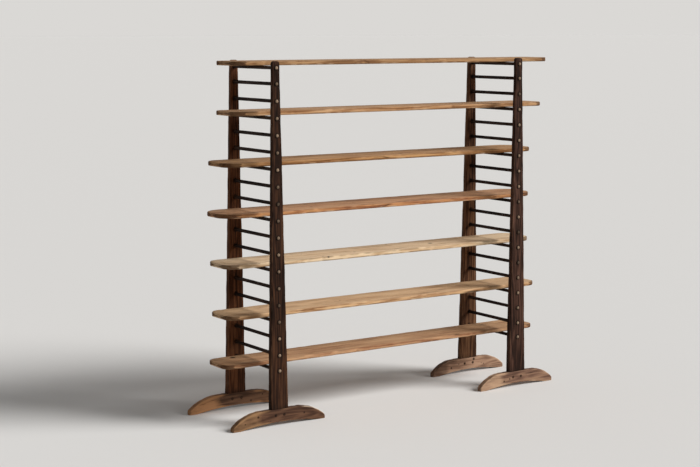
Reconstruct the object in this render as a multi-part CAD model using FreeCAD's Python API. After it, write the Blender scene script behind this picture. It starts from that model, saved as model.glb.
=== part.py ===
import FreeCAD, Part
import math
import os

# Bakery rack: two ladder ends on arched feet, bridged by seven loose bread boards.
# Millimetres, +Z up from the floor, boards along X, rungs along Y, the front at -Y.

# Ladder ends
ladder_spacing = 1562.0
ladder_foot_depth = 464.0
ladder_top_depth = 430.0

# Posts: sawn tapered and set leaning, wide and thick at the foot, slim at the top
post_over_rung = 33.0
post_foot_width = 112.0
post_top_width = 44.0
post_foot_thickness = 30.0
post_top_thickness = 22.0
post_arris = 2.5
post_crown_round = 13.0
post_crown_limit_share = 0.4
post_width_shares = {"left_front": 0.93, "left_back": 1.0, "right_front": 1.03, "right_back": 1.08}

# Tenon under each post, held in its foot by two pegs
tenon_shoulder = 12.0
tenon_thickness_share = 0.4
tenon_length_share = 0.66
tenon_fit = 0.1
peg_diameter = 9.0
peg_drop_share = 0.55
peg_stand_out = 1.0
peg_fit = 0.1
peg_flat_count = 8
peg_spread_share = 0.62

# Feet: flat in the middle, falling in one round to each toe, arched underneath
foot_length = 520.0
foot_length_shares = {"left_front": 1.05, "left_back": 1.08, "right_front": 1.0, "right_back": 1.0}
foot_height = 85.0
foot_thickness = 34.0
foot_flat_length = 220.0
toe_nose = 20.0
toe_length = 45.0
arch_rise = 19.0

# Rungs: dowels right through both posts, their ends standing proud
rung_count = 19
rung_diameter = 18.0
rung_pitch = 85.0
rung_end_pitch = 79.0
rung_lowest = 281.0
rung_stand_out = 7.0
rung_fit = 0.1
hole_flat_count = 12

# Boards: loose, on every third rung, each of its own size and pushed where it was left
board_every = 3
board_length = 2034.0
board_width = 240.0
board_thickness = 22.0
board_edge = 4.0
board_lift = 0.3
board_length_shares = (1.005, 0.99, 0.983, 0.996, 0.979, 0.993, 1.0)
board_width_shares = (1.0, 1.0, 1.09, 1.075, 0.98, 0.94, 0.86)
board_along_shares = (0.3, 0.23, 0.02, 0.0, -0.02, 0.01, -0.025)
board_across_shares = (0.1, 0.1, 0.44, 0.45, 0.2, -0.15, -0.07)
board_corner_shares = (0.26, 0.26, 0.32, 0.4, 0.3, 0.28, 0.26)

# All cuts run past their faces by this much
overrun = 4.0

# Heights of the rungs, from the top one down, and what follows from them
rung_heights = [rung_lowest]
for number in range(2, rung_count + 1):
    at_end = number in (2, rung_count)
    rung_heights.insert(0, rung_heights[0] + (rung_end_pitch if at_end else rung_pitch))
post_top = rung_heights[0] + post_over_rung
tenon_thickness = post_foot_thickness * tenon_thickness_share
tenon_length = foot_height * tenon_length_share
peg_height = foot_height - tenon_length * peg_drop_share

# Places along X and Y, with the whole rack centred on the origin
board_numbers = range(min(len(board_length_shares), 1 + (rung_count - 1) // board_every))
board_lengths = [board_length * board_length_shares[n] for n in board_numbers]
board_middles = [(board_lengths[n] - ladder_spacing) / 2 * board_along_shares[n] for n in board_numbers]
foot_lengths = {place: foot_length * share for place, share in foot_length_shares.items()}
left_ends = [board_middles[n] - board_lengths[n] / 2 for n in board_numbers]
left_ends += [-(ladder_spacing + foot_lengths[place]) / 2 for place in ("left_front", "left_back")]
right_ends = [board_middles[n] + board_lengths[n] / 2 for n in board_numbers]
right_ends += [(ladder_spacing + foot_lengths[place]) / 2 for place in ("right_front", "right_back")]
rack_middle = -(min(left_ends) + max(right_ends)) / 2
ladder_places = {"left": rack_middle - ladder_spacing / 2, "right": rack_middle + ladder_spacing / 2}
ladder_sides = {"front": -1, "back": 1}
foot_post_y = (ladder_foot_depth - post_foot_thickness) / 2


def save(name, shape):
    shape.exportStep("parts/" + name + ".step")


def vec(x, y, z):
    return FreeCAD.Vector(x, y, z)


def up_the_post(z, at_foot, at_top):
    risen_share = (z - foot_height) / (post_top - foot_height)
    return at_foot + (at_top - at_foot) * risen_share


def half_depth(z):
    return up_the_post(z, ladder_foot_depth, ladder_top_depth) / 2


def inner_half_depth(z):
    return half_depth(z) - up_the_post(z, post_foot_thickness, post_top_thickness)


def flat_face(points):
    return Part.Face(Part.makePolygon(points + points[:1]))


# Prism along Y with its corners on a circle
def prism_along_y(x, y, z, radius, flats, length):
    turns = [2 * math.pi * n / flats for n in range(flats)]
    return flat_face([vec(x + radius * math.cos(turn), y - length / 2, z + radius * math.sin(turn))
                      for turn in turns]).extrude(vec(0, length, 0))


# Cutter for a hole whose flats just clear a round bar
def hole_along_y(x, y, z, radius, length):
    return prism_along_y(x, y, z, radius / math.cos(math.pi / hole_flat_count), hole_flat_count, length)


def block(x, y, z_low, z_high, width, depth):
    corner = vec(x - width / 2, y - depth / 2, z_low)
    return Part.makeBox(width, depth, z_high - z_low, corner)


def peg_places(x, width):
    spread = (width - 2 * tenon_shoulder) / 2 * peg_spread_share
    return [x - spread, x + spread]


# Peg holes through foot and tenon
def drill_pegs(shape, x, y, width):
    for place in peg_places(x, width):
        hole = hole_along_y(place, y, peg_height, peg_diameter / 2 + peg_fit,
                            foot_thickness + 2 * overrun)
        shape = shape.cut(hole)
    return shape


# Blank of a post: its tapered front view and its leaning side view, sawn out of one another
def post_blank(x, side, foot_width, top_width):
    deep = max(half_depth(foot_height), half_depth(post_top))
    front = flat_face([vec(x - foot_width / 2, 0, foot_height), vec(x + foot_width / 2, 0, foot_height),
                       vec(x + top_width / 2, 0, post_top), vec(x - top_width / 2, 0, post_top)])
    front = front.extrude(vec(0, side * (deep + overrun), 0))
    crown = min(post_crown_round, post_crown_limit_share * top_width)
    top_edges = [edge for edge in front.Edges
                 if edge.BoundBox.YLength > deep and edge.BoundBox.ZMin > foot_height + overrun]
    front = front.makeFillet(crown, top_edges)
    outline = [(half_depth(foot_height), foot_height), (half_depth(post_top), post_top),
               (inner_half_depth(post_top), post_top), (inner_half_depth(foot_height), foot_height)]
    lean = flat_face([vec(x - foot_width, side * y, z) for y, z in outline])
    body = front.common(lean.extrude(vec(2 * foot_width, 0, 0)))
    arrises = [edge for edge in body.Edges
               if edge.BoundBox.XLength > post_arris and edge.BoundBox.ZMax > foot_height + overrun]
    return body.makeChamfer(post_arris, arrises)


# One post with its tenon and its rung holes
def post(x, side, foot_width, top_width):
    body = post_blank(x, side, foot_width, top_width)
    y = side * foot_post_y
    tenon = block(x, y, foot_height - tenon_length, foot_height + overrun,
                  foot_width - 2 * tenon_shoulder, tenon_thickness)
    body = body.fuse(tenon)
    for z in rung_heights:
        y_middle = side * (half_depth(z) + inner_half_depth(z)) / 2
        hole = hole_along_y(x, y_middle, z, rung_diameter / 2 + rung_fit,
                            post_foot_thickness + 2 * overrun)
        body = body.cut(hole)
    return drill_pegs(body, x, y, foot_width)


# Side view of a foot: flat top, a round down to each toe, the shallow arch below
def foot_outline(x, y, length):
    flat = foot_flat_length / 2
    toe = length / 2
    span = toe - toe_length
    reach = toe - flat
    fall = foot_height - toe_nose
    radius = (reach ** 2 + fall ** 2) / (2 * fall)
    turn = math.asin(reach / radius) / 2
    bend_x = flat + radius * math.sin(turn)
    bend_z = foot_height - radius + radius * math.cos(turn)

    def at(across, z):
        return vec(x + across, y, z)

    lines = [Part.makeLine(at(-flat, foot_height), at(flat, foot_height)),
             Part.Arc(at(flat, foot_height), at(bend_x, bend_z), at(toe, toe_nose)).toShape(),
             Part.makeLine(at(toe, toe_nose), at(toe, 0)),
             Part.makeLine(at(toe, 0), at(span, 0)),
             Part.Arc(at(span, 0), at(0, arch_rise), at(-span, 0)).toShape(),
             Part.makeLine(at(-span, 0), at(-toe, 0)),
             Part.makeLine(at(-toe, 0), at(-toe, toe_nose)),
             Part.Arc(at(-toe, toe_nose), at(-bend_x, bend_z), at(-flat, foot_height)).toShape()]
    return Part.Wire(lines)


# One foot with the mortise for its post
def foot(x, side, length, post_width):
    y = side * foot_post_y
    outline = foot_outline(x, y - foot_thickness / 2, length)
    body = Part.Face(outline).extrude(vec(0, foot_thickness, 0))
    mortise = block(x, y, foot_height - tenon_length - tenon_fit, foot_height + overrun,
                    post_width - 2 * tenon_shoulder + 2 * tenon_fit, tenon_thickness + 2 * tenon_fit)
    body = body.cut(mortise)
    return drill_pegs(body, x, y, post_width)


# The two pegs of one foot
def foot_pegs(x, side, post_width):
    length = foot_thickness + 2 * peg_stand_out
    return Part.makeCompound([prism_along_y(place, side * foot_post_y, peg_height, peg_diameter / 2,
                                            peg_flat_count, length) for place in peg_places(x, post_width)])


# One rung, as long as its pair of posts is deep there
def rung(x, z):
    reach = half_depth(z) + rung_stand_out
    return Part.makeCylinder(rung_diameter / 2, 2 * reach, vec(x, -reach, z), vec(0, 1, 0))


# One board, round at its corners and eased along its edges
def board(number):
    length = board_lengths[number]
    width = board_width * board_width_shares[number]
    corner = width * board_corner_shares[number]
    rung_z = rung_heights[number * board_every]
    z = rung_z + rung_diameter / 2 + board_lift
    x = rack_middle + board_middles[number]
    y = (inner_half_depth(rung_z) - width / 2) * board_across_shares[number]
    body = block(x, y, z, z + board_thickness, length, width)
    upright = [edge for edge in body.Edges if edge.BoundBox.ZLength > board_thickness / 2]
    body = body.makeFillet(corner, upright)
    rim = [edge for edge in body.Edges if edge.BoundBox.ZLength < board_thickness / 2]
    return body.makeChamfer(board_edge, rim)


os.makedirs("parts", exist_ok=True)

for ladder, x in ladder_places.items():
    for face, side in ladder_sides.items():
        place = ladder + "_" + face
        width_share = post_width_shares[place]
        foot_width = post_foot_width * width_share
        save("post_" + place, post(x, side, foot_width, post_top_width * width_share))
        save("foot_" + place, foot(x, side, foot_lengths[place], foot_width))
        save("foot_pegs_" + place, foot_pegs(x, side, foot_width))
    for number, z in enumerate(rung_heights, 1):
        save("rung_" + ladder + "_" + str(number).zfill(2), rung(x, z))

for number in board_numbers:
    save("board_" + str(number + 1), board(number))
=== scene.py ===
import math
import bpy
import numpy as np
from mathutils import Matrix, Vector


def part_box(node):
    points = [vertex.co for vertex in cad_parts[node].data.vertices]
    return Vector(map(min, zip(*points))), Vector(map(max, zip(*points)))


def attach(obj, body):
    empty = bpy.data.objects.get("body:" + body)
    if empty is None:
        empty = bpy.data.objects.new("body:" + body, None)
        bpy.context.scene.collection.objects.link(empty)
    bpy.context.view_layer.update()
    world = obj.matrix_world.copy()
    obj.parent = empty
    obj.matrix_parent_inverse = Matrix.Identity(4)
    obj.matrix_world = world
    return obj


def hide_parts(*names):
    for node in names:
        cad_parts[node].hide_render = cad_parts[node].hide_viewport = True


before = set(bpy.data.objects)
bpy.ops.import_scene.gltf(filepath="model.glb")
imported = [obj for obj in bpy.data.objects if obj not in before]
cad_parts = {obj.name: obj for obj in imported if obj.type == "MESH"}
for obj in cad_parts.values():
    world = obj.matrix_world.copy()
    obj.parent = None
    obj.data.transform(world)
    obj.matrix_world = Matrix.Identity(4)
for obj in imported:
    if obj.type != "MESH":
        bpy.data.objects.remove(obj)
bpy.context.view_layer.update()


# Feet
# Four low sledge feet sawn from elm plank, flat under the post, rounded down to a toe at each end and
# arched below. The post's tenon is pegged into the flat. Brown stain, rubbed pale on corners and toes.
PLACES = ("left_front", "left_back", "right_front", "right_back")
FOOT_HEIGHT = 0.085
FOOT_HALF_FLAT = 0.110
TOE_NOSE = 0.020
TOE_LENGTH = 0.045
ARCH_RISE = 0.019
FOOT_STATIONS = 141
# The saw wandered on the rounds, but not on the seat of the post. Sets of three are wavelengths.
FOOT_SEAT = 0.075
FOOT_SEAT_FADE = 0.03
FOOT_SAW_WANDER = 0.0011
FOOT_SAW_WAVES = (0.11, 0.06, 0.035)
FOOT_SIDE_WANDER = 0.0006
FOOT_SIDE_WAVES = (0.31, 0.13, 0.07)
FOOT_WORN_ROUND = 0.0035
NOSE_WORN_ROUND = 0.0065
FOOT_ROUND_SWING_SHARE = 0.3
FOOT_ROUND_WAVES = (0.4, 0.17, 0.06)
FOOT_ROUND_LIMIT_SHARE = 0.95
NOSE_DROP_SHARE = 0.8
# Wear as the material reads it: 0 is untouched, and 1 or more is rubbed through.
FOOT_CORNER_WEAR = 0.9
FOOT_MOST_WEAR = 1.3
FOOT_RUB_MEAN = 0.6
FOOT_RUB_SWING = 0.4
FOOT_RUB_WAVES = (0.43, 0.19, 0.08)
# Toes at the left and at the right of each foot: the left ones are the barest, and one is dark with damp.
TOE_WEARS = {"left_front": (0.85, 0.3), "left_back": (1.1, 0.5), "right_front": (1.05, 0.3),
             "right_back": (0.2, 0.5)}
TOE_BARE_FROM_SHARE = 0.15
TOE_BARE_OVER_SHARE = 0.35
TOE_DAMP = {"right_back": 0.4}
TOE_DAMP_FROM_SHARE = 0.55
TOE_DAMP_OVER_SHARE = 0.1
# One right toe has its upper front arris rubbed to pale bare wood.
TOE_CHIPPED = {"left_front": 0.9}
TOE_CHIPPED_FROM_SHARE = 0.45
TOE_CHIPPED_OVER_SHARE = 0.12
TOE_CHIP_BLEACH = 1.8
# Worm holes, nail pits and stains: how far they reach and how black they are
FOOT_PIT_REACHES = (0.008, 0.006, 0.005, 0.007, 0.004, 0.005)
FOOT_PIT_INSET = 0.06
FOOT_PIT_HEIGHTS = (0.03, 0.06)
FOOT_PIT_BLACK = 0.85
PEG_RADIUS = 0.0045
PEG_STAIN_REACH = 0.0105
PEG_STAIN_BLACK = 0.9
OLD_PEG_HOLES = {"right_back": ((0.037, 0.074),)}
FOOT_SEEDS = {"sides": 0, "rounds": 9, "grain": 11, "rub": 60, "saw": 100, "pits": 400}
# The stain of each foot from its darkest to its lightest, what shows where it is rubbed, and bare wood
FOOT_STAINS = {"left_front": ("#38251b", "#4d3528", "#694b38"),
               "left_back": ("#3f2c20", "#583f2f", "#72533e"),
               "right_front": ("#553e32", "#755747", "#93735b"),
               "right_back": ("#6b5142", "#8e6e58", "#a98870")}
FOOT_RUBBED = {"left_front": "#94714f", "left_back": "#b08058", "right_front": "#b8977a",
               "right_back": "#b8977a"}
FOOT_BARE = "#dbc3a9"


def cad_corners(node):
    """Lowest and highest corner of a CAD node, as arrays."""
    return [np.array(corner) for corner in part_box(node)]


def peg_axes(place):
    """X of both pegs of a foot, and the height that they share."""
    low, high = cad_corners("foot_pegs_" + place)
    return (low[0] + PEG_RADIUS, high[0] - PEG_RADIUS), (low[2] + high[2]) / 2


def waver(along, seed, wavelengths):
    """Slow hand-made unevenness from -1 to 1: the mean of sines of the given wavelengths, phases from
    the seed."""
    phase = np.random.default_rng(seed).uniform(0, 2 * math.pi, len(wavelengths))
    waves = [np.sin(2 * math.pi * along / length + p) for length, p in zip(wavelengths, phase)]
    return sum(waves) / len(wavelengths)


def edge_ring(arc, wide, narrow):
    """Ring of a section with rounded corners, as three rows for its points: signs, outward, at_corner.
    On a corner's arc the signs hold still and outward turns, and on a flat the signs run across."""
    signs, outward, at_corner = [], [], []
    corners = np.array([(1, 1), (-1, 1), (-1, -1), (1, -1)], float)
    for k, across in enumerate((wide, narrow, wide, narrow)):
        turn = (k + np.linspace(0, 1, arc)) * math.pi / 2
        signs.append(np.repeat(corners[k:k + 1], arc, 0))
        outward.append(np.stack([np.cos(turn), np.sin(turn)], -1))
        at_corner.append(np.ones(arc))
        run = np.linspace(0, 1, across + 2)[1:-1, None]
        signs.append(corners[k] * (1 - run) + corners[(k + 1) % 4] * run)
        outward.append(np.repeat(outward[-1][-1:], across, 0))
        at_corner.append(np.zeros(across))
    return np.concatenate(signs), np.concatenate(outward), np.concatenate(at_corner)


def sections(signs, outward, half, round_off):
    """Sections of a worn bar at all its stations: a point is signs * (half size - radius) + radius *
    outward, with the half size and the radius of its station."""
    radius = round_off[:, None, None]
    return signs * (half[:, None] - radius) + radius * outward


def skin(name, rings, marks):
    """Closed mesh from rings of points, each joined to the next, with a fan on the first and the last.
    marks are values for every point of the rings, kept as attributes for the material."""
    count, around = rings.shape[:2]
    points = np.concatenate([rings.reshape(-1, 3), rings[0].mean(0)[None], rings[-1].mean(0)[None]])
    first = np.arange(count - 1)[:, None] * around
    here = np.arange(around)[None]
    after = (here + 1) % around
    quads = np.stack([first + here, first + after, first + after + around, first + here + around], -1)
    last = (count - 1) * around
    head = np.stack([np.full(around, count * around), after[0], here[0]], -1)
    tail = np.stack([np.full(around, count * around + 1), last + here[0], last + after[0]], -1)
    quads = quads.reshape(-1, 4)
    mesh = bpy.data.meshes.new(name)
    mesh.from_pydata(points.tolist(), [], quads.tolist() + head.tolist() + tail.tolist())
    mesh.polygons.foreach_set("use_smooth", np.ones(len(mesh.polygons), bool))
    # a negative volume means that the rings ran the other way round and the faces point inwards
    a, b, c, d = (points[quads[:, k]] for k in range(4))
    volume = np.einsum("ij,ij->", a, np.cross(b, c)) + np.einsum("ij,ij->", a, np.cross(c, d))
    if volume < 0:
        mesh.flip_normals()
    for mark, values in marks.items():
        full = np.concatenate([values.ravel(), [values[0].mean(), values[-1].mean()]])
        mesh.attributes.new(mark, "FLOAT", "POINT").data.foreach_set("value", full.astype(np.float32))
    piece = bpy.data.objects.new(name, mesh)
    bpy.context.scene.collection.objects.link(piece)
    return piece


# Patterns of old wood, as sizes in mm across the grain and along it. Growth rings follow a noise whose
# cells are nine rings wide. Fibres, and the rings of large pieces, are drawn coarser than real ones, to
# show. Each piece has its patterns shifted by up to nine cells.
ALONG_X, ALONG_Y, ALONG_Z = 0, 1, 2
RING_CELL = 9
RING_TURNS = 46.0
NOISE_MIDDLE = 0.5
FIBRE_MM = (3.2, 333)
HANDLING_MM = (91, 333)
CRACK_MM = (38.5, 909)
PATTERN_SHIFT = 9
# The tone is a sum of patterns, and the three colours of a wood lie at these tones.
RING_SHARE = 0.11
FIBRE_SHARE = 0.62
HANDLING_SHARE = 0.76
TONE_SHIFT = -0.19
TONE_STOPS = (0.31, 0.5, 0.70)
RAGGED_EDGE_MIX = {"From Min": 0.3, "From Max": 0.6}
CRACK_LINE = {"From Min": 0.008, "From Max": 0.002}
CRACKED_PATCHES = {"From Min": 0.56, "From Max": 0.44, "To Max": 0.8}
CRACK_DEPTH = -0.8
SPOT_TEAR = 0.5
SPOT_RIM = {"From Min": 1.3, "From Max": 0.6}
RELIEF = {"Strength": 0.45, "Distance": 0.002}
SHINY_TONES = {"From Min": 0.2, "From Max": 0.8}
SHINE_SWING = 0.1
DRY_WOOD_SPECULAR = 0.07
# old grease, also used as painted shadow round the rung ends of the posts
OLD_GREASE_AND_SHADE = "#150d08"
KNOT_BROWN = "#1c110b"


def linear(hex_colour):
    """Linear RGBA of an sRGB hex value."""
    srgb = np.array([int(hex_colour[i:i + 2], 16) for i in (1, 3, 5)]) / 255
    flat = np.where(srgb <= 0.04045, srgb / 12.92, ((srgb + 0.055) / 1.055) ** 2.4)
    return (*flat.tolist(), 1.0)


def add(tree, kind, inputs=(), **settings):
    """Adds one node: settings are its own attributes, inputs are pairs of socket and value or output."""
    node = tree.nodes.new(kind)
    for name, value in settings.items():
        setattr(node, name, value)
    for socket, value in dict(inputs).items():
        if isinstance(value, bpy.types.NodeSocket):
            tree.links.new(value, node.inputs[socket])
        else:
            node.inputs[socket].default_value = value
    return node


def drawn_out(tree, lie, cell_mm, detail, roughness):
    """Noise drawn out along the grain: cell_mm is the size of its cells across the grain and along it,
    and lie holds the coordinates, the grain's axis and the shift of one piece."""
    place, grain, shift = lie
    scale = np.full(3, 1000 / cell_mm[0])
    scale[grain] = 1000 / cell_mm[1]
    drawn = add(tree, "ShaderNodeMapping", {"Vector": place, "Scale": scale, "Location": shift})
    cells = {"Vector": drawn.outputs[0], "Scale": 1.0, "Detail": detail, "Roughness": roughness}
    return add(tree, "ShaderNodeTexNoise", cells).outputs[0]


def wood_tone(tree, lie, ring_mm, figure_mm, fibres, patch):
    """Tone of sawn wood: growth rings, which are the contour lines of a noise, under fibres and the
    patches of handling, each times its share."""
    bent = drawn_out(tree, lie, (ring_mm * RING_CELL, figure_mm), detail=2.0, roughness=0.4)
    count = add(tree, "ShaderNodeMath", {0: bent, 1: RING_TURNS}, operation="MULTIPLY")
    wave = add(tree, "ShaderNodeMath", {0: count.outputs[0]}, operation="SINE")
    rings = add(tree, "ShaderNodeMath", {0: wave.outputs[0], 1: RING_SHARE, 2: TONE_SHIFT},
                operation="MULTIPLY_ADD")
    thread = add(tree, "ShaderNodeMath", {0: fibres, 1: FIBRE_SHARE, 2: rings.outputs[0]},
                 operation="MULTIPLY_ADD")
    return add(tree, "ShaderNodeMath", {0: patch, 1: HANDLING_SHARE, 2: thread.outputs[0]},
               operation="MULTIPLY_ADD").outputs[0]


def drying_cracks(tree, lie, patch):
    """Thin lines where a long-drawn noise crosses its middle, only in the darker patches of handling."""
    crossing = drawn_out(tree, lie, CRACK_MM, detail=1.0, roughness=0.5)
    off = add(tree, "ShaderNodeMath", {0: crossing, 1: NOISE_MIDDLE}, operation="SUBTRACT")
    near = add(tree, "ShaderNodeMath", {0: off.outputs[0]}, operation="ABSOLUTE")
    line = add(tree, "ShaderNodeMapRange", {"Value": near.outputs[0], **CRACK_LINE})
    where = add(tree, "ShaderNodeMapRange", {"Value": patch, **CRACKED_PATCHES})
    return add(tree, "ShaderNodeMath", {0: line.outputs[0], 1: where.outputs[0]},
               operation="MULTIPLY").outputs[0]


def dark_spots(tree, place, fibres, colour, spots):
    """Knots, pits and stains over a colour: each is dark within its reach of its centre, up to its
    strength, and its rim is torn by the fibres."""
    for centre, reach, strength in spots:
        local = add(tree, "ShaderNodeMapping", {"Vector": place, "Location": -np.array(centre) / reach,
                                                "Scale": [1 / reach] * 3})
        far = add(tree, "ShaderNodeVectorMath", {0: local.outputs[0]}, operation="LENGTH")
        torn = add(tree, "ShaderNodeMath", {0: fibres, 1: SPOT_TEAR, 2: far.outputs["Value"]},
                   operation="MULTIPLY_ADD")
        inside = add(tree, "ShaderNodeMapRange", {"Value": torn.outputs[0], **SPOT_RIM, "To Max": strength},
                     interpolation_type="SMOOTHSTEP")
        colour = add(tree, "ShaderNodeMix", {"Factor": inside.outputs[0], 6: colour, 7: linear(KNOT_BROWN)},
                     data_type="RGBA").outputs[2]
    return colour


def wood(name, grain, colours, edge, edge_share, ring_mm, figure_mm, rough, seed, spots=(), scrubbed=None):
    """Old sawn wood: the tone picks among three colours, the attribute bleached brings in the scrubbed
    colour, a second attribute the edge's colour and a third the dark of old grease, and cracks and spots
    lie over them. The edge's colour of the boards is also painted shade towards their ends, and the dark
    of old grease is also painted shadow round the rung ends of the posts. Darker tones lie lower and are
    duller."""
    material = bpy.data.materials.new(name)
    material.use_nodes = True
    tree = material.node_tree
    place = add(tree, "ShaderNodeTexCoord").outputs["Object"]
    shift = np.random.default_rng(seed).uniform(-PATTERN_SHIFT, PATTERN_SHIFT, 3)
    lie = (place, grain, shift)
    fibres = drawn_out(tree, lie, FIBRE_MM, detail=4.0, roughness=0.65)
    patch = drawn_out(tree, lie, HANDLING_MM, detail=6.0, roughness=0.62)
    tone = wood_tone(tree, lie, ring_mm, figure_mm, fibres, patch)
    ramp = add(tree, "ShaderNodeValToRGB", {"Fac": tone})
    stops = ramp.color_ramp.elements
    stops[0].position = TONE_STOPS[0]
    stops[1].position = TONE_STOPS[2]
    stops.new(TONE_STOPS[1])
    for stop, shade in zip(stops, colours):
        stop.color = linear(shade)
    colour = ramp.outputs[0]
    if scrubbed:
        bleached = add(tree, "ShaderNodeAttribute", attribute_name="bleached")
        uneven = add(tree, "ShaderNodeMath", {0: patch, 1: bleached.outputs["Fac"]}, operation="MULTIPLY")
        colour = add(tree, "ShaderNodeMix", {"Factor": uneven.outputs[0], 6: colour, 7: linear(scrubbed)},
                     data_type="RGBA").outputs[2]
    # mix towards the edge's colour: wear, and on the boards also dirt and painted shade towards the ends
    edge_mix = add(tree, "ShaderNodeAttribute", attribute_name="edge_mix")
    ragged = add(tree, "ShaderNodeMath", {0: patch, 1: edge_mix.outputs["Fac"]}, operation="MULTIPLY")
    edge_blend = add(tree, "ShaderNodeMapRange", {"Value": ragged.outputs[0], **RAGGED_EDGE_MIX,
                                              "To Max": edge_share})
    colour = add(tree, "ShaderNodeMix", {"Factor": edge_blend.outputs[0], 6: colour, 7: linear(edge)},
                 data_type="RGBA").outputs[2]
    crack = drying_cracks(tree, lie, patch)
    # dark of old grease: grime and cracks, and on the posts also painted shadow round the rung ends
    dark_attribute = add(tree, "ShaderNodeAttribute", attribute_name="dark_mix")
    darkening = add(tree, "ShaderNodeMath", {0: dark_attribute.outputs["Fac"], 1: crack}, operation="MAXIMUM")
    colour = add(tree, "ShaderNodeMix", {"Factor": darkening.outputs[0], 6: colour, 7: linear(OLD_GREASE_AND_SHADE)},
                 data_type="RGBA").outputs[2]
    colour = dark_spots(tree, place, fibres, colour, spots)
    deep = add(tree, "ShaderNodeMath", {0: crack, 1: CRACK_DEPTH, 2: tone}, operation="MULTIPLY_ADD")
    bump = add(tree, "ShaderNodeBump", {"Height": deep.outputs[0], **RELIEF})
    dull = add(tree, "ShaderNodeMapRange", {"Value": tone, **SHINY_TONES, "To Min": rough + SHINE_SWING,
                                            "To Max": rough - SHINE_SWING})
    shader = tree.nodes["Principled BSDF"]
    shader.inputs["Specular IOR Level"].default_value = DRY_WOOD_SPECULAR
    tree.links.new(colour, shader.inputs["Base Color"])
    tree.links.new(dull.outputs[0], shader.inputs["Roughness"])
    tree.links.new(bump.outputs[0], shader.inputs["Normal"])
    return material


for number, place in enumerate(PLACES):
    low, high = cad_corners("foot_" + place)
    middle = (low + high) / 2
    toe = (high[0] - low[0]) / 2
    # stations crowd towards the toes, where the nose turns in
    along = np.sin(np.linspace(-1, 1, FOOT_STATIONS) * math.pi / 2) * toe
    from_middle = np.abs(along)
    # the top is flat and then one round, which comes down to the nose at the toe
    fall = FOOT_HEIGHT - TOE_NOSE
    radius = ((toe - FOOT_HALF_FLAT) ** 2 + fall ** 2) / (2 * fall)
    past_flat = np.maximum(from_middle - FOOT_HALF_FLAT, 0)
    top = FOOT_HEIGHT - radius + np.sqrt(radius ** 2 - past_flat ** 2)
    off_seat = np.clip((from_middle - FOOT_SEAT) / FOOT_SEAT_FADE, 0, 1)
    top -= FOOT_SAW_WANDER * (1 + waver(along, FOOT_SEEDS["saw"] + number, FOOT_SAW_WAVES)) * off_seat
    span = toe - TOE_LENGTH
    under = ARCH_RISE * np.maximum(1 - (along / span) ** 2, 0)
    # the last of each toe is worn to a round nose
    nose = np.minimum((toe - from_middle) / NOSE_WORN_ROUND, 1)
    pinch = NOSE_WORN_ROUND * (1 - np.sqrt(1 - (1 - nose) ** 2))
    drop = NOSE_DROP_SHARE * pinch
    half = np.stack([(high[1] - low[1]) / 2 - pinch, (top - under) / 2 - drop], -1)
    half[:, 0] -= FOOT_SIDE_WANDER * (1 + waver(along, FOOT_SEEDS["sides"] + number, FOOT_SIDE_WAVES))
    swing = FOOT_ROUND_SWING_SHARE * waver(along, FOOT_SEEDS["rounds"] + number, FOOT_ROUND_WAVES)
    round_off = np.minimum(FOOT_WORN_ROUND * (1 + swing), half.min(1) * FOOT_ROUND_LIMIT_SHARE)
    signs, outward, at_corner = edge_ring(arc=6, wide=4, narrow=4)
    flat = sections(signs, outward, half, round_off)
    rings = np.stack([np.broadcast_to(along[:, None] + middle[0], flat.shape[:2]),
                      flat[..., 0] + middle[1],
                      flat[..., 1] + ((top + under) / 2 - drop)[:, None]], -1)
    # corners and toes are rubbed, one arris down to bare wood, and one toe has gone dark
    toes = np.clip((from_middle / toe - TOE_BARE_FROM_SHARE) / TOE_BARE_OVER_SHARE, 0, 1)[:, None]
    rub = FOOT_RUB_MEAN + FOOT_RUB_SWING * waver(along, FOOT_SEEDS["rub"] + number, FOOT_RUB_WAVES)[:, None]
    toe_wear = np.where(along < 0, *TOE_WEARS[place])[:, None]
    chipped = np.clip((along / toe - TOE_CHIPPED_FROM_SHARE) / TOE_CHIPPED_OVER_SHARE, 0, 1)[:, None]
    upper_front = at_corner * (signs[:, 0] < 0) * np.sqrt(np.clip(outward[:, 1], 0, 1))
    chipped = chipped * upper_front * TOE_CHIPPED.get(place, 0)
    edge_mix = at_corner[None] * rub * FOOT_CORNER_WEAR * (1 - chipped) + toes * toe_wear
    damp = np.clip((-along / toe - TOE_DAMP_FROM_SHARE) / TOE_DAMP_OVER_SHARE, 0, 1) * TOE_DAMP.get(place, 0)
    # small worm holes and nail pits strewn over the front and the back of the foot
    strew = np.random.default_rng(FOOT_SEEDS["pits"] + number)
    pits = [((strew.uniform(low[0] + FOOT_PIT_INSET, high[0] - FOOT_PIT_INSET),
              strew.choice([low[1], high[1]]),
              strew.uniform(*FOOT_PIT_HEIGHTS)), reach, FOOT_PIT_BLACK) for reach in FOOT_PIT_REACHES]
    # the stain has gone black round the pegs, and in the hole of an older peg
    peg_xs, peg_z = peg_axes(place)
    blacked = [(x, peg_z) for x in peg_xs]
    blacked += [(middle[0] + x, z) for x, z in OLD_PEG_HOLES.get(place, ())]
    pits += [((x, face, z), PEG_STAIN_REACH, PEG_STAIN_BLACK) for x, z in blacked
             for face in (low[1], high[1])]
    foot = skin("worn_foot_" + place, rings, {
        "edge_mix": np.clip(edge_mix, 0, FOOT_MOST_WEAR),
        "bleached": TOE_CHIP_BLEACH * chipped,
        "dark_mix": np.broadcast_to(damp[:, None], flat.shape[:2])})
    # stained elm: a coarse, blotchy brown grain without gloss, pale where the stain is rubbed through
    foot.data.materials.append(wood(
        "stained_elm_foot_" + place, grain=ALONG_X, colours=FOOT_STAINS[place], edge=FOOT_RUBBED[place],
        edge_share=0.85, ring_mm=5.0, figure_mm=500, rough=0.66, seed=FOOT_SEEDS["grain"] + number,
        spots=pits, scrubbed=FOOT_BARE))
    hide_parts("foot_" + place)
    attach(foot, "ladder_ends")


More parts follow.
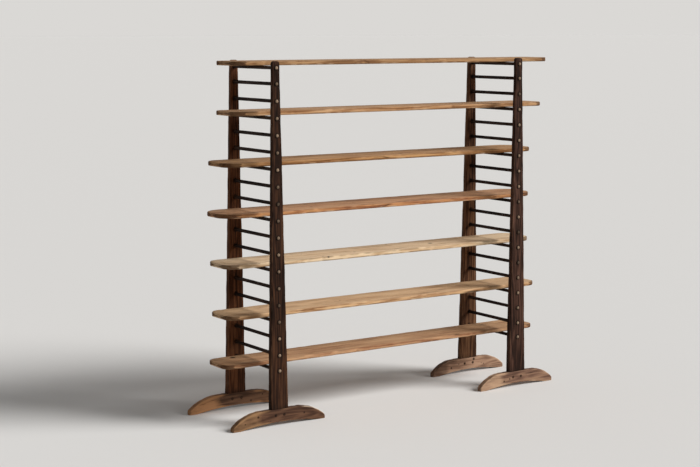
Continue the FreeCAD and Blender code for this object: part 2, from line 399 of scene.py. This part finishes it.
# Posts
# Four tapered uprights of dark-stained beech, wide and thick at the foot, slim at the round crown, sawn
# and planed by hand. The tenon below the shoulder is hidden in the foot. The arrises are rubbed.
POST_TOP = 1.832
POST_RISE = POST_TOP - FOOT_HEIGHT
POST_WIDTHS = (0.112, 0.044)
POST_WIDTH_SHARES = {"left_front": 0.93, "left_back": 1.0, "right_front": 1.03, "right_back": 1.08}
POST_THICKNESSES = (0.030, 0.022)
LADDER_HALF_DEPTHS = (0.232, 0.215)
POST_CROWN_ROUND = 0.013
POST_STATIONS = 430
CROWN_STATIONS = 18
CROWN_STATIONS_FROM = 0.0145
POST_STATIONS_END = 0.02
POST_PLANE_WANDER = 0.0011
POST_PLANE_WAVES = (0.62, 0.27, 0.11)
POST_WORN_ROUND = 0.0035
POST_ROUND_SWING_SHARE = 0.35
POST_ROUND_WAVES = (0.5, 0.21, 0.08)
POST_ROUND_LIMIT_SHARE = 0.95
POST_RUB_MEAN = 0.75
POST_RUB_SWING = 0.25
POST_RUB_WAVES = (0.33, 0.12, 0.05)
# Painted shadow round the rung ends and dirt on the foot: reach, fade and how black
RUNG_SHADE_REACH = 0.0175
RUNG_SHADE_FADE = 0.008
RUNG_SHADE_BLACK = 0.8
SHOULDER_DIRT_REACH = 0.03
SHOULDER_DIRT_BLACK = 0.5
POST_MOST_DARKENING = 0.85
POST_SEEDS = {"left side": 20, "right side": 120, "rounds": 30, "grain": 31, "rub": 40}
POST_STAINS = {"left_front": ("#160b05", "#2c190f", "#492e1d"),
               "left_back": ("#271409", "#4a2a18", "#6b4329"),
               "right_front": ("#1a0e08", "#352118", "#593d31"),
               "right_back": ("#2d1a0f", "#553724", "#7b583d")}
POST_RUBBED = "#745741"
RUNG_COUNT = 19
RUNG_NODE = "rung_%s_%02d"


def up_the_post(share, ends):
    """Size that runs straight from its value at the foot to its value at the top."""
    return ends[0] + (ends[1] - ends[0]) * share


rung_corners = [cad_corners(RUNG_NODE % ("left", number)) for number in range(1, RUNG_COUNT + 1)]
rung_heights = np.array([(low[2] + high[2]) / 2 for low, high in rung_corners])
for number, place in enumerate(PLACES):
    low, high = cad_corners("foot_" + place)
    x = (low[0] + high[0]) / 2
    side = -1 if place.endswith("front") else 1
    crowding = 1 - np.sin(np.linspace(0, 1, CROWN_STATIONS) * math.pi / 2)
    rise = np.concatenate([np.linspace(0, POST_RISE - POST_STATIONS_END, POST_STATIONS),
                           POST_RISE - CROWN_STATIONS_FROM * crowding])
    share = rise / POST_RISE
    down = POST_RISE - rise
    width = POST_WIDTH_SHARES[place] * up_the_post(share, POST_WIDTHS)
    thick = up_the_post(share, POST_THICKNESSES)
    outer = up_the_post(share, LADDER_HALF_DEPTHS)
    # the crown is a quarter round on both narrow sides, its edge a smaller one on both faces
    crown = np.clip(POST_CROWN_ROUND - down, 0, POST_CROWN_ROUND)
    shoulder = POST_CROWN_ROUND - np.sqrt(POST_CROWN_ROUND ** 2 - crown ** 2)
    edge = np.maximum(POST_WORN_ROUND - down, 0)
    half = np.stack([width / 2 - shoulder,
                     thick / 2 - POST_WORN_ROUND + np.sqrt(POST_WORN_ROUND ** 2 - edge ** 2)], -1)
    # both narrow sides were planed by eye, each with its own slow waver
    planed = [POST_PLANE_WANDER * (1 + waver(rise, POST_SEEDS[name] + number, POST_PLANE_WAVES))
              for name in ("left side", "right side")]
    half[:, 0] -= (planed[0] + planed[1]) / 2
    drift = (planed[0] - planed[1])[:, None] / 2
    swing = POST_ROUND_SWING_SHARE * waver(rise, POST_SEEDS["rounds"] + number, POST_ROUND_WAVES)
    round_off = np.minimum(POST_WORN_ROUND * (1 + swing), half.min(1) * POST_ROUND_LIMIT_SHARE)
    signs, outward, at_corner = edge_ring(arc=5, wide=20, narrow=3)
    flat = sections(signs, outward, half, round_off)
    height = (FOOT_HEIGHT + rise)[:, None]
    rings = np.stack([flat[..., 0] + x + drift,
                      flat[..., 1] + (side * (outer - thick / 2))[:, None],
                      np.broadcast_to(height, flat.shape[:2])], -1)
    rub = POST_RUB_MEAN + POST_RUB_SWING * waver(rise, POST_SEEDS["rub"] + number, POST_RUB_WAVES)
    # a dark ring of painted shadow round each rung end, as the stub would cast on the post, and dirt in the
    # shoulder on the foot
    from_rung = np.abs(height - rung_heights).min(1)[:, None]
    around = np.hypot(rings[..., 0] - x, from_rung)
    rung_shade = RUNG_SHADE_BLACK * np.clip((RUNG_SHADE_REACH - around) / RUNG_SHADE_FADE, 0, 1)
    darkening = SHOULDER_DIRT_BLACK * np.clip(1 - rise / SHOULDER_DIRT_REACH, 0, 1)[:, None]
    post = skin("tapered_post_" + place, rings, {"edge_mix": at_corner[None] * rub[:, None],
                                                 "dark_mix": np.clip(rung_shade + darkening, 0, POST_MOST_DARKENING)})
    # stained beech: straight fine grain under a nearly black stain, brown along the rubbed arrises, with
    # painted shadow round the rung ends
    post.data.materials.append(wood(
        "stained_beech_post_" + place, grain=ALONG_Z, colours=POST_STAINS[place], edge=POST_RUBBED,
        edge_share=0.5, ring_mm=4.0, figure_mm=700, rough=0.66, seed=POST_SEEDS["grain"] + number))
    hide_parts("post_" + place)
    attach(post, "ladder_ends")


# Foot pegs
# Two riven oak pegs through each foot and the tenon in it, eight flats each, cut off just proud of
# both faces and gone nearly black.
PEG_FLATS = 8
PEG_BEVEL = 0.0006
PEG_TIP_SHARE = 0.72
PEG_OAK = ("#17100b", "#2a1c13", "#45301f")
PEG_RUBBED = "#5c4330"
# riven oak: small, hard and almost black, without gloss, its flats still sharp
peg_wood = wood("riven_oak_peg", grain=ALONG_Y, colours=PEG_OAK, edge=PEG_RUBBED, edge_share=0.5,
                ring_mm=2.0, figure_mm=200, rough=0.7, seed=51)
for place in PLACES:
    low, high = cad_corners("foot_pegs_" + place)
    peg_xs, peg_z = peg_axes(place)
    turn = np.linspace(0, 2 * math.pi, PEG_FLATS, endpoint=False)
    run = np.array([low[1], low[1] + PEG_BEVEL, high[1] - PEG_BEVEL, high[1]])
    size = PEG_RADIUS * np.array([PEG_TIP_SHARE, 1.0, 1.0, PEG_TIP_SHARE])
    for end, x in zip("ab", peg_xs):
        rings = np.stack([x + size[:, None] * np.cos(turn),
                          np.broadcast_to(run[:, None], (len(run), PEG_FLATS)),
                          peg_z + size[:, None] * np.sin(turn)], -1)
        peg = skin("foot_peg_" + place + "_" + end, rings, {"edge_mix": np.zeros(rings.shape[:2])})
        peg.data.polygons.foreach_set("use_smooth", np.zeros(len(peg.data.polygons), bool))
        peg.data.materials.append(peg_wood)
        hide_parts("foot_pegs_" + place)
        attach(peg, "ladder_ends")


# Rungs
# Shaved ash dowels driven right through both posts, nearly black where hands and boards have rubbed
# them, their domed ends standing out pale from the post faces.
RUNG_SIDES = 24
RUNG_STATIONS = 21
RUNG_STATIONS_INSET = 0.012
RUNG_DOME = 0.0055
RUNG_DOME_STATIONS = 6
RUNG_DOME_START_SHARE = 0.12
RUNG_TIP_SHARE = 0.5
RUNG_SHAVE_SHARE = 0.02
RUNG_SHAVE_WAVES = (0.37, 0.16, 0.09)
# Each end is bare wood for this length, and rubbed between these amounts.
RUNG_BARE_LENGTH = 0.0042
RUNG_BARE_FADE = 0.0015
RUNG_BARE_WEAR = (0.7, 1.6)
RUNG_WOOD = ("#130d0a", "#241812", "#3a281d")
RUNG_END = "#917b66"
# shaved ash: black and smooth from handling, pale, dry and fibrous on the cut ends
rung_wood = wood("shaved_ash_rung", grain=ALONG_Y, colours=RUNG_WOOD, edge=RUNG_END, edge_share=0.9,
                 ring_mm=3.0, figure_mm=300, rough=0.6, seed=61)
for number in range(1, RUNG_COUNT + 1):
    for ladder in ("left", "right"):
        node = RUNG_NODE % (ladder, number)
        seed = number * 2 + len(ladder)
        low, high = cad_corners(node)
        middle = (low + high) / 2
        half = (high - low) / 2
        turn = np.linspace(0, 2 * math.pi, RUNG_SIDES, endpoint=False)
        # stations along the rung: one dome, the straight stretch, the other dome
        lean = np.linspace(RUNG_DOME_START_SHARE, 1, RUNG_DOME_STATIONS) * math.pi / 2
        dome = RUNG_DOME * (1 - np.cos(lean))
        straight = half[1] - RUNG_STATIONS_INSET
        run = np.concatenate([-half[1] + dome, np.linspace(-straight, straight, RUNG_STATIONS),
                              (half[1] - dome)[::-1]])
        # a dome is a quarter of an ellipse that stops at the tip's share of the radius
        inset = np.clip((half[1] - np.abs(run)) / RUNG_DOME, 0, 1)
        taper = np.sqrt(1 - (1 - RUNG_TIP_SHARE ** 2) * (1 - inset) ** 2)
        uneven = 1 - RUNG_SHAVE_SHARE * (1 + waver(run, seed, RUNG_SHAVE_WAVES))
        size = (half[2] * taper * uneven)[:, None]
        rings = np.stack([middle[0] + size * np.cos(turn),
                          np.broadcast_to((middle[1] + run)[:, None], (len(run), RUNG_SIDES)),
                          middle[2] + size * np.sin(turn)], -1)
        handled = np.random.default_rng(seed).uniform(*RUNG_BARE_WEAR, 2)
        bare = np.clip((np.abs(run) - half[1] + RUNG_BARE_LENGTH) / RUNG_BARE_FADE, 0, 1)
        bare = bare * np.where(run < 0, *handled)
        rung = skin("shaved_" + node, rings, {"edge_mix": np.broadcast_to(bare[:, None], rings.shape[:2])})
        rung.data.materials.append(rung_wood)
        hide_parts(node)
        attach(rung, "ladder_ends")


# Bread boards
# Seven loose pine boards, each from another plank, laid across on every third pair of rungs. Bare and
# scrubbed, corners sawn round, edges worn soft and uneven, knots here and there.
BOARD_CORNER_SHARES = (0.26, 0.26, 0.32, 0.4, 0.3, 0.28, 0.26)
BOARD_STATIONS = 320
BOARD_CORNER_STATIONS = 30
BOARD_WORN_ROUND = 0.0065
BOARD_ROUND_SWING_SHARE = 0.3
BOARD_ROUND_WAVES = (0.7, 0.23, 0.09)
BOARD_ROUND_LIMIT_SHARE = 0.97
BOARD_EDGE_WANDER = 0.0012
BOARD_EDGE_WAVES = (0.83, 0.31, 0.12)
# Knocks in each long edge: how many, how far from the ends, between which half widths and depths
KNOCK_COUNT = 12
KNOCK_INSET = 0.05
KNOCK_HALF_WIDTHS = (0.006, 0.03)
KNOCK_DEPTHS = (0.0006, 0.0028)
# Pale rubbed stretches along the arrises, from a waver that is stretched and clipped
CHIP_WAVES = (0.47, 0.19, 0.08)
CHIP_GAIN = 2.0
CHIP_THRESHOLD = 0.3
CHIP_UPPER_SHARE = 0.35
CHIP_BLEACH = 2.0
# Dirt on the arrises, painted shade towards the ends, and dirt with painted shade in the end grain, all
# given to the material as one mix towards its edge colour
BOARD_ARRIS_DIRT = 0.72
BOARD_END_REACH = 0.10
BOARD_END_SHADE = 0.45
BOARD_END_GRAIN_DIRT_AND_SHADE = 2.0
BOARD_MOST_DARKENING = 2.0
# Knots whose places follow the photograph, by board counted from 0 at the top: x, y and reach
BOARD_KNOTS = {3: ((-0.468, -0.018, 0.012),),
               4: ((0.326, 0.004, 0.019), (-0.414, -0.1, 0.009)),
               6: ((-0.906, 0.052, 0.022),)}
KNOT_BLACK = 0.95
# Nail holes and small flecks, strewn over both flats
FLECK_REACHES = (0.010, 0.014, 0.005, 0.005, 0.007, 0.006, 0.008, 0.006, 0.007)
FLECK_END_INSET = 0.1
FLECK_EDGE_INSET = 0.02
FLECK_BLACK = 0.8
BOARD_SEEDS = {"front edge": 70, "back edge": 110, "rounds": 80, "grain": 91, "knocks": 200,
               "flecks": 300, "chips": 500}
CHIP_SEED_STEP = 10
BOARD_PINES = (("#67442b", "#926c48", "#b28b63"), ("#7a5333", "#aa7f58", "#c89f75"),
               ("#6f4827", "#9d7249", "#be9161"), ("#73432a", "#aa754d", "#c6905e"),
               ("#9a7450", "#cbab86", "#dfc5a2"), ("#8a6240", "#bd946c", "#d6b083"),
               ("#784d33", "#a67a59", "#c59b74"))
BOARD_SCRUBBED = ("#a98a6b", "#b29171", "#a68564", "#b79577", "#d6bf9f", "#c3a787", "#b08e6c")
# grime on the arrises, also used as painted shade towards the ends and in the end grain
BOARD_GRIME_AND_SHADE = "#432c1d"
for k, pine in enumerate(BOARD_PINES):
    node = "board_%d" % (k + 1)
    low, high = cad_corners(node)
    middle = (low + high) / 2
    size = high - low
    # plan of the board: straight edges, and a quarter round at each corner
    corner_round = size[1] * BOARD_CORNER_SHARES[k]
    turn = np.linspace(0, 1, BOARD_CORNER_STATIONS) * math.pi / 2
    inward = corner_round * (1 - np.cos(turn))
    between = np.linspace(corner_round, size[0] - corner_round, BOARD_STATIONS)[1:-1]
    run = np.concatenate([inward, between, (size[0] - inward)[::-1]])
    from_end = np.minimum(run, size[0] - run)
    cut = np.maximum(corner_round - from_end, 0)
    plan = size[1] / 2 - corner_round + np.sqrt(np.maximum(corner_round ** 2 - cut ** 2, 0))
    worn_end = np.maximum(BOARD_WORN_ROUND - from_end, 0)
    thick = size[2] / 2 - BOARD_WORN_ROUND + np.sqrt(BOARD_WORN_ROUND ** 2 - worn_end ** 2)
    # each long edge is worn by itself: a slow waver and a dozen knocks, all of them inward
    knock = np.random.default_rng(BOARD_SEEDS["knocks"] + k)
    edges = []
    for name in ("front edge", "back edge"):
        at = knock.uniform(KNOCK_INSET, size[0] - KNOCK_INSET, KNOCK_COUNT)
        wide = knock.uniform(*KNOCK_HALF_WIDTHS, KNOCK_COUNT)
        deep = knock.uniform(*KNOCK_DEPTHS, KNOCK_COUNT)
        dents = (deep * np.exp(-((run[:, None] - at) / wide) ** 2)).sum(1)
        edges.append(BOARD_EDGE_WANDER * (1 + waver(run, BOARD_SEEDS[name] + k, BOARD_EDGE_WAVES)) + dents)
    drift = (edges[0] - edges[1])[:, None] / 2
    half = np.stack([plan - (edges[0] + edges[1]) / 2, thick], -1)
    swing = BOARD_ROUND_SWING_SHARE * waver(run, BOARD_SEEDS["rounds"] + k, BOARD_ROUND_WAVES)
    round_off = np.minimum(BOARD_WORN_ROUND * (1 + swing), thick * BOARD_ROUND_LIMIT_SHARE)
    signs, outward, at_corner = edge_ring(arc=6, wide=18, narrow=3)
    flat = sections(signs, outward, half, round_off)
    rings = np.stack([np.broadcast_to((low[0] + run)[:, None], flat.shape[:2]),
                      flat[..., 0] + middle[1] + drift,
                      flat[..., 1] + middle[2]], -1)
    # pale rubbed stretches come and go along the arrises, most on the lower ones, with dirt between them
    chips = np.zeros(flat.shape[:2])
    for arris, (across, up) in enumerate(((1, 1), (-1, 1), (-1, -1), (1, -1))):
        on_arris = at_corner * (signs[:, 0] * across > 0) * (signs[:, 1] * up > 0)
        chip_seed = BOARD_SEEDS["chips"] + k + CHIP_SEED_STEP * arris
        stretches = np.clip(CHIP_GAIN * waver(run, chip_seed, CHIP_WAVES) - CHIP_THRESHOLD, 0, 1)
        chips += stretches[:, None] * on_arris * (1.0 if up < 0 else CHIP_UPPER_SHARE)
    # painted shade darkens the last stretch towards each end; the end grain, where the sawn-round rim cuts
    # across the fibres, has soaked up dirt and is darkened more with painted shade
    ends = np.clip(1 - from_end / BOARD_END_REACH, 0, 1)[:, None]
    level = outward[None, :, 1] ** 2
    end_grain = np.sqrt(cut / corner_round)[:, None] * (1 - level)
    darkening = at_corner[None] * BOARD_ARRIS_DIRT * (1 - chips)
    darkening = darkening + BOARD_END_SHADE * ends + BOARD_END_GRAIN_DIRT_AND_SHADE * end_grain
    # a few knots are seen in the photograph, the other spots are strewn from the board's number
    strew = np.random.default_rng(BOARD_SEEDS["flecks"] + k)
    spots = [((x, y, high[2]), reach, KNOT_BLACK) for x, y, reach in BOARD_KNOTS.get(k, ())]
    spots += [((strew.uniform(low[0] + FLECK_END_INSET, high[0] - FLECK_END_INSET),
                strew.uniform(low[1] + FLECK_EDGE_INSET, high[1] - FLECK_EDGE_INSET),
                strew.choice([low[2], high[2]])), reach, FLECK_BLACK) for reach in FLECK_REACHES]
    board = skin("bread_" + node, rings, {
        "edge_mix": np.clip(darkening, 0, BOARD_MOST_DARKENING),
        "bleached": np.maximum(level, CHIP_BLEACH * chips * (1 - ends))})
    # scrubbed pine: dry and matt, warm brown rings bleached on the flats, darker towards the ends with
    # painted shade, grey-brown in the end grain from dirt and painted shade
    board.data.materials.append(wood(
        "scrubbed_pine_" + node, grain=ALONG_X, colours=pine, edge=BOARD_GRIME_AND_SHADE, edge_share=0.8,
        ring_mm=6.0, figure_mm=900, rough=0.7, seed=BOARD_SEEDS["grain"] + k, spots=spots,
        scrubbed=BOARD_SCRUBBED[k]))
    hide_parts(node)
    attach(board, node)


# Studio
# A plain pale floor, one soft lamp at the right front and above, and an even pale surround, which is
# paler to the camera than the light that it gives.
FLOOR_REACH = 400.0
FLOOR_PAINT = "#dfddda"
FLOOR_ROUGH = 0.9
AIR_COLOUR = "#d6d6d6"
AIR_STRENGTH = 0.30
SEEN_COLOUR = "#dad8d5"
LAMP_ENERGY = 4.05
LAMP_SOFTNESS = math.radians(28)
LAMP_TILT = math.radians(57)
LAMP_TURN = math.radians(49)
floor_mesh = bpy.data.meshes.new("floor")
floor_corners = FLOOR_REACH * np.array([(-1, -1, 0), (1, -1, 0), (1, 1, 0), (-1, 1, 0)])
floor_mesh.from_pydata(floor_corners.tolist(), [], [(0, 1, 2, 3)])
floor = bpy.data.objects.new("floor", floor_mesh)
bpy.context.scene.collection.objects.link(floor)
# matt floor paint: even and without gloss, so that it shows nothing but the shadow
paint = bpy.data.materials.new("pale_painted_floor")
paint.use_nodes = True
paint_shader = paint.node_tree.nodes["Principled BSDF"]
paint_shader.inputs["Base Color"].default_value = linear(FLOOR_PAINT)
paint_shader.inputs["Roughness"].default_value = FLOOR_ROUGH
floor.data.materials.append(paint)

world = bpy.data.worlds.new("studio")
world.use_nodes = True
surround = world.node_tree
air = surround.nodes["Background"]
air.inputs["Color"].default_value = linear(AIR_COLOUR)
air.inputs["Strength"].default_value = AIR_STRENGTH
seen = add(surround, "ShaderNodeBackground", {"Color": linear(SEEN_COLOUR), "Strength": 1.0})
ray = add(surround, "ShaderNodeLightPath")
mirrored = add(surround, "ShaderNodeMath", {0: ray.outputs["Is Glossy Ray"],
                                            1: ray.outputs["Is Transmission Ray"]}, operation="MAXIMUM")
direct = add(surround, "ShaderNodeMath", {0: ray.outputs["Is Camera Ray"], 1: mirrored.outputs[0]},
             operation="MAXIMUM")
pick = add(surround, "ShaderNodeMixShader", {0: direct.outputs[0], 1: air.outputs[0], 2: seen.outputs[0]})
surround.links.new(pick.outputs[0], surround.nodes["World Output"].inputs["Surface"])
bpy.context.scene.world = world

lamp = bpy.data.lights.new("key", "SUN")
lamp.energy = LAMP_ENERGY
lamp.angle = LAMP_SOFTNESS
key = bpy.data.objects.new("key", lamp)
key.rotation_euler = (LAMP_TILT, 0, LAMP_TURN)
bpy.context.scene.collection.objects.link(key)

# Camera
# At the photograph's place: left front, a little above the top board, with a long lens. Its place,
# turns (in radians) and lens were fitted to posts, rungs and boards in the photograph.
CAMERA_PLACE = (-4.8201, -6.7696, 1.9878)
CAMERA_DOWN = 0.13077
CAMERA_TURN = -0.59772
CAMERA_LENS_MM = 79.91
CAMERA_SENSOR_MM = 36.0
eye = bpy.data.cameras.new("camera")
eye.lens = CAMERA_LENS_MM
eye.sensor_width = CAMERA_SENSOR_MM
camera = bpy.data.objects.new("camera", eye)
camera.location = CAMERA_PLACE
camera.rotation_euler = (math.pi / 2 - CAMERA_DOWN, 0.0, CAMERA_TURN)
bpy.context.scene.collection.objects.link(camera)
bpy.context.scene.camera = camera
bpy.context.scene.view_settings.view_transform = "Standard"
